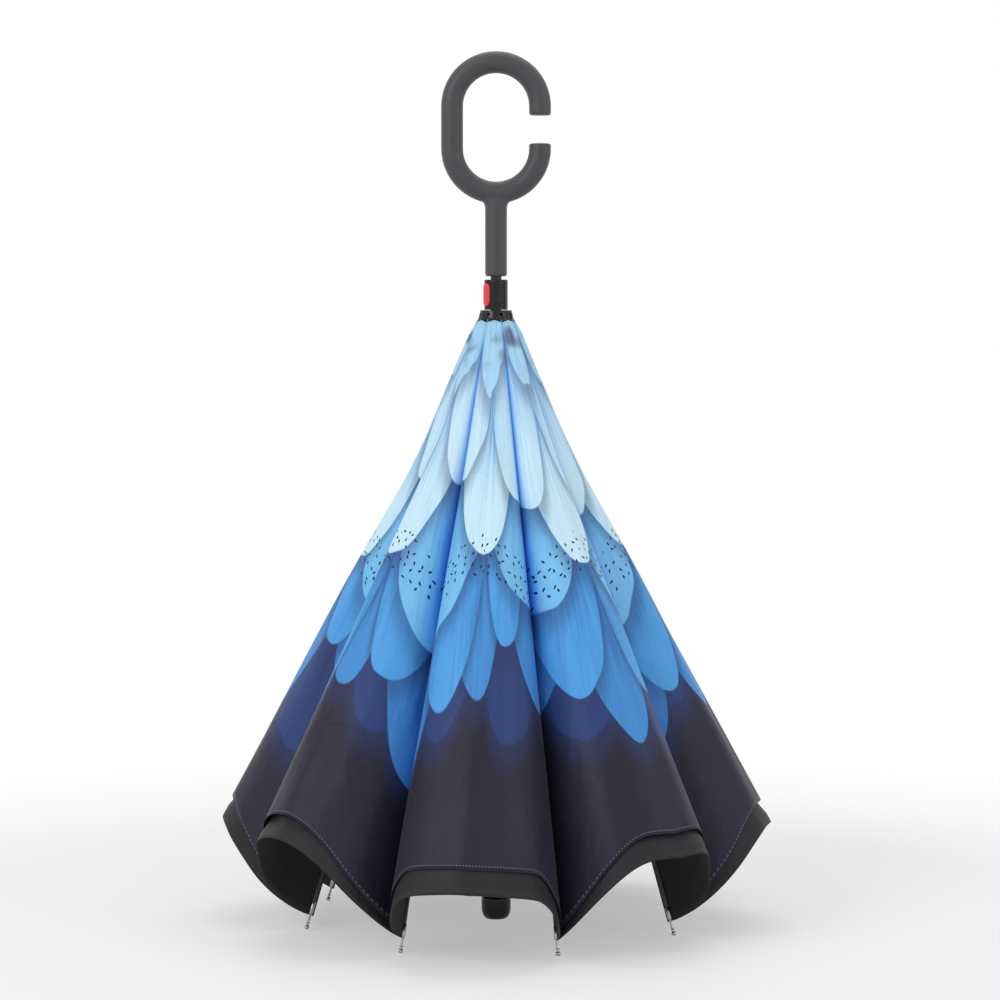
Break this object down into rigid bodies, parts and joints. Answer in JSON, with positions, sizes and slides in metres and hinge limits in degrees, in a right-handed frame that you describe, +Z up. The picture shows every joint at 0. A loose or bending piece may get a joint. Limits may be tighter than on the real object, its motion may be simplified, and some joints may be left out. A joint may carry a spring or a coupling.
{
  "type": "inverted umbrella",
  "caption": "Closed inverted umbrella with a C-shaped grip, a sliding runner, hinged ribs and struts, and two layers of cloth, standing on its rib tips.",
  "frame": {"origin": "middle of the ferrule's flat face, on the floor", "axes": "+Z up the shaft to the handle, +X towards the grip's mouth, -Y towards the viewer of the picture"},
  "size_m": [0.503, 0.503, 0.7945],
  "materials": {
    "grip_rubber": "soft matte rubber coating",
    "black_plastic": "satin moulded plastic",
    "red_plastic": "glossy moulded plastic",
    "steel": "bright plated steel",
    "black_steel": "black coated steel",
    "glass_fibre": "black glass fibre rod",
    "printed_cloth": "blue printed pongee with a near-black border",
    "black_cloth": "near-black pongee"
  },
  "bodies": {
    "shaft": {"shaft_tube": "black_steel", "handle": "grip_rubber", "top_notch": "black_plastic", "notch_wire": "steel", "ferrule": "black_plastic", "latch_spring": "steel"},
    "runner": {"runner_sleeve": "black_plastic", "runner_crown": "black_plastic", "crown_wire": "steel"},
    "button": {"release_button": "red_plastic"},
    "rib_set_1": {"rib_1": "glass_fibre", "rib_tip_1": "steel", "rib_clamp_1": "black_steel", "inner_panel_1": "printed_cloth", "outer_panel_1": "black_cloth"},
    "strut_set_1": {"strut_1": "black_steel"},
    "rib_set_2": {"rib_2": "glass_fibre", "rib_tip_2": "steel", "rib_clamp_2": "black_steel", "inner_panel_2": "printed_cloth", "outer_panel_2": "black_cloth"},
    "strut_set_2": {"strut_2": "black_steel"},
    "rib_set_3": {"rib_3": "glass_fibre", "rib_tip_3": "steel", "rib_clamp_3": "black_steel", "inner_panel_3": "printed_cloth", "outer_panel_3": "black_cloth"},
    "strut_set_3": {"strut_3": "black_steel"},
    "rib_set_4": {"rib_4": "glass_fibre", "rib_tip_4": "steel", "rib_clamp_4": "black_steel", "inner_panel_4": "printed_cloth", "outer_panel_4": "black_cloth"},
    "strut_set_4": {"strut_4": "black_steel"},
    "rib_set_5": {"rib_5": "glass_fibre", "rib_tip_5": "steel", "rib_clamp_5": "black_steel", "inner_panel_5": "printed_cloth", "outer_panel_5": "black_cloth"},
    "strut_set_5": {"strut_5": "black_steel"},
    "rib_set_6": {"rib_6": "glass_fibre", "rib_tip_6": "steel", "rib_clamp_6": "black_steel", "inner_panel_6": "printed_cloth", "outer_panel_6": "black_cloth"},
    "strut_set_6": {"strut_6": "black_steel"},
    "rib_set_7": {"rib_7": "glass_fibre", "rib_tip_7": "steel", "rib_clamp_7": "black_steel", "inner_panel_7": "printed_cloth", "outer_panel_7": "black_cloth"},
    "strut_set_7": {"strut_7": "black_steel"},
    "rib_set_8": {"rib_8": "glass_fibre", "rib_tip_8": "steel", "rib_clamp_8": "black_steel", "inner_panel_8": "printed_cloth", "outer_panel_8": "black_cloth"},
    "strut_set_8": {"strut_8": "black_steel"}
  },
  "joints": [
    {"name": "runner_slide", "type": "slide", "parent": "shaft", "child": "runner", "axis": [0, 0, -1], "range_m": [0, 0.3865]},
    {"name": "button_press", "type": "slide", "parent": "runner", "child": "button", "axis": [0.8387, 0.5446, 0], "range_m": [0, 0.0015], "stiffness_N_per_m": 300},
    {"name": "rib_1_hinge", "type": "hinge", "parent": "runner", "child": "rib_set_1", "pos_m": [0.00376, -0.01192, 0.5535], "axis": [-0.9537, -0.3007, 0], "range_deg": [0, 83.2], "deforming": ["inner_panel_1", "outer_panel_1"]},
    {"name": "strut_1_hinge", "type": "hinge", "parent": "shaft", "child": "strut_set_1", "pos_m": [0.00738, -0.01078, 0.045], "axis": [0.9537, 0.3007, 0], "range_deg": [0, 41.4]},
    {"name": "rib_2_hinge", "type": "hinge", "parent": "runner", "child": "rib_set_2", "pos_m": [0.01109, -0.00577, 0.5535], "axis": [-0.4617, -0.887, 0], "range_deg": [0, 83.2], "deforming": ["inner_panel_2", "outer_panel_2"]},
    {"name": "strut_2_hinge", "type": "hinge", "parent": "shaft", "child": "strut_set_2", "pos_m": [0.01284, -0.0024, 0.045], "axis": [0.4617, 0.887, 0], "range_deg": [0, 41.4]},
    {"name": "rib_3_hinge", "type": "hinge", "parent": "runner", "child": "rib_set_3", "pos_m": [0.01192, 0.00376, 0.5535], "axis": [0.3007, -0.9537, 0], "range_deg": [0, 83.2], "deforming": ["inner_panel_3", "outer_panel_3"]},
    {"name": "strut_3_hinge", "type": "hinge", "parent": "shaft", "child": "strut_set_3", "pos_m": [0.01078, 0.00738, 0.045], "axis": [-0.3007, 0.9537, 0], "range_deg": [0, 41.4]},
    {"name": "rib_4_hinge", "type": "hinge", "parent": "runner", "child": "rib_set_4", "pos_m": [0.00577, 0.01109, 0.5535], "axis": [0.887, -0.4617, 0], "range_deg": [0, 83.2], "deforming": ["inner_panel_4", "outer_panel_4"]},
    {"name": "strut_4_hinge", "type": "hinge", "parent": "shaft", "child": "strut_set_4", "pos_m": [0.0024, 0.01284, 0.045], "axis": [-0.887, 0.4617, 0], "range_deg": [0, 41.4]},
    {"name": "rib_5_hinge", "type": "hinge", "parent": "runner", "child": "rib_set_5", "pos_m": [-0.00376, 0.01192, 0.5535], "axis": [0.9537, 0.3007, 0], "range_deg": [0, 83.2], "deforming": ["inner_panel_5", "outer_panel_5"]},
    {"name": "strut_5_hinge", "type": "hinge", "parent": "shaft", "child": "strut_set_5", "pos_m": [-0.00738, 0.01078, 0.045], "axis": [-0.9537, -0.3007, 0], "range_deg": [0, 41.4]},
    {"name": "rib_6_hinge", "type": "hinge", "parent": "runner", "child": "rib_set_6", "pos_m": [-0.01109, 0.00577, 0.5535], "axis": [0.4617, 0.887, 0], "range_deg": [0, 83.2], "deforming": ["inner_panel_6", "outer_panel_6"]},
    {"name": "strut_6_hinge", "type": "hinge", "parent": "shaft", "child": "strut_set_6", "pos_m": [-0.01284, 0.0024, 0.045], "axis": [-0.4617, -0.887, 0], "range_deg": [0, 41.4]},
    {"name": "rib_7_hinge", "type": "hinge", "parent": "runner", "child": "rib_set_7", "pos_m": [-0.01192, -0.00376, 0.5535], "axis": [-0.3007, 0.9537, 0], "range_deg": [0, 83.2], "deforming": ["inner_panel_7", "outer_panel_7"]},
    {"name": "strut_7_hinge", "type": "hinge", "parent": "shaft", "child": "strut_set_7", "pos_m": [-0.01078, -0.00738, 0.045], "axis": [0.3007, -0.9537, 0], "range_deg": [0, 41.4]},
    {"name": "rib_8_hinge", "type": "hinge", "parent": "runner", "child": "rib_set_8", "pos_m": [-0.00577, -0.01109, 0.5535], "axis": [-0.887, 0.4617, 0], "range_deg": [0, 83.2], "deforming": ["inner_panel_8", "outer_panel_8"]},
    {"name": "strut_8_hinge", "type": "hinge", "parent": "shaft", "child": "strut_set_8", "pos_m": [-0.0024, -0.01284, 0.045], "axis": [0.887, -0.4617, 0], "range_deg": [0, 41.4]}
  ],
  "couplings": [
    {"joint": "rib_1_hinge", "follows": "runner_slide", "rad_per_m": 3.752},
    {"joint": "strut_1_hinge", "follows": "runner_slide", "rad_per_m": 1.8629},
    {"joint": "rib_2_hinge", "follows": "runner_slide", "rad_per_m": 3.752},
    {"joint": "strut_2_hinge", "follows": "runner_slide", "rad_per_m": 1.8629},
    {"joint": "rib_3_hinge", "follows": "runner_slide", "rad_per_m": 3.752},
    {"joint": "strut_3_hinge", "follows": "runner_slide", "rad_per_m": 1.8629},
    {"joint": "rib_4_hinge", "follows": "runner_slide", "rad_per_m": 3.752},
    {"joint": "strut_4_hinge", "follows": "runner_slide", "rad_per_m": 1.8629},
    {"joint": "rib_5_hinge", "follows": "runner_slide", "rad_per_m": 3.752},
    {"joint": "strut_5_hinge", "follows": "runner_slide", "rad_per_m": 1.8629},
    {"joint": "rib_6_hinge", "follows": "runner_slide", "rad_per_m": 3.752},
    {"joint": "strut_6_hinge", "follows": "runner_slide", "rad_per_m": 1.8629},
    {"joint": "rib_7_hinge", "follows": "runner_slide", "rad_per_m": 3.752},
    {"joint": "strut_7_hinge", "follows": "runner_slide", "rad_per_m": 1.8629},
    {"joint": "rib_8_hinge", "follows": "runner_slide", "rad_per_m": 3.752},
    {"joint": "strut_8_hinge", "follows": "runner_slide", "rad_per_m": 1.8629}
  ]
}
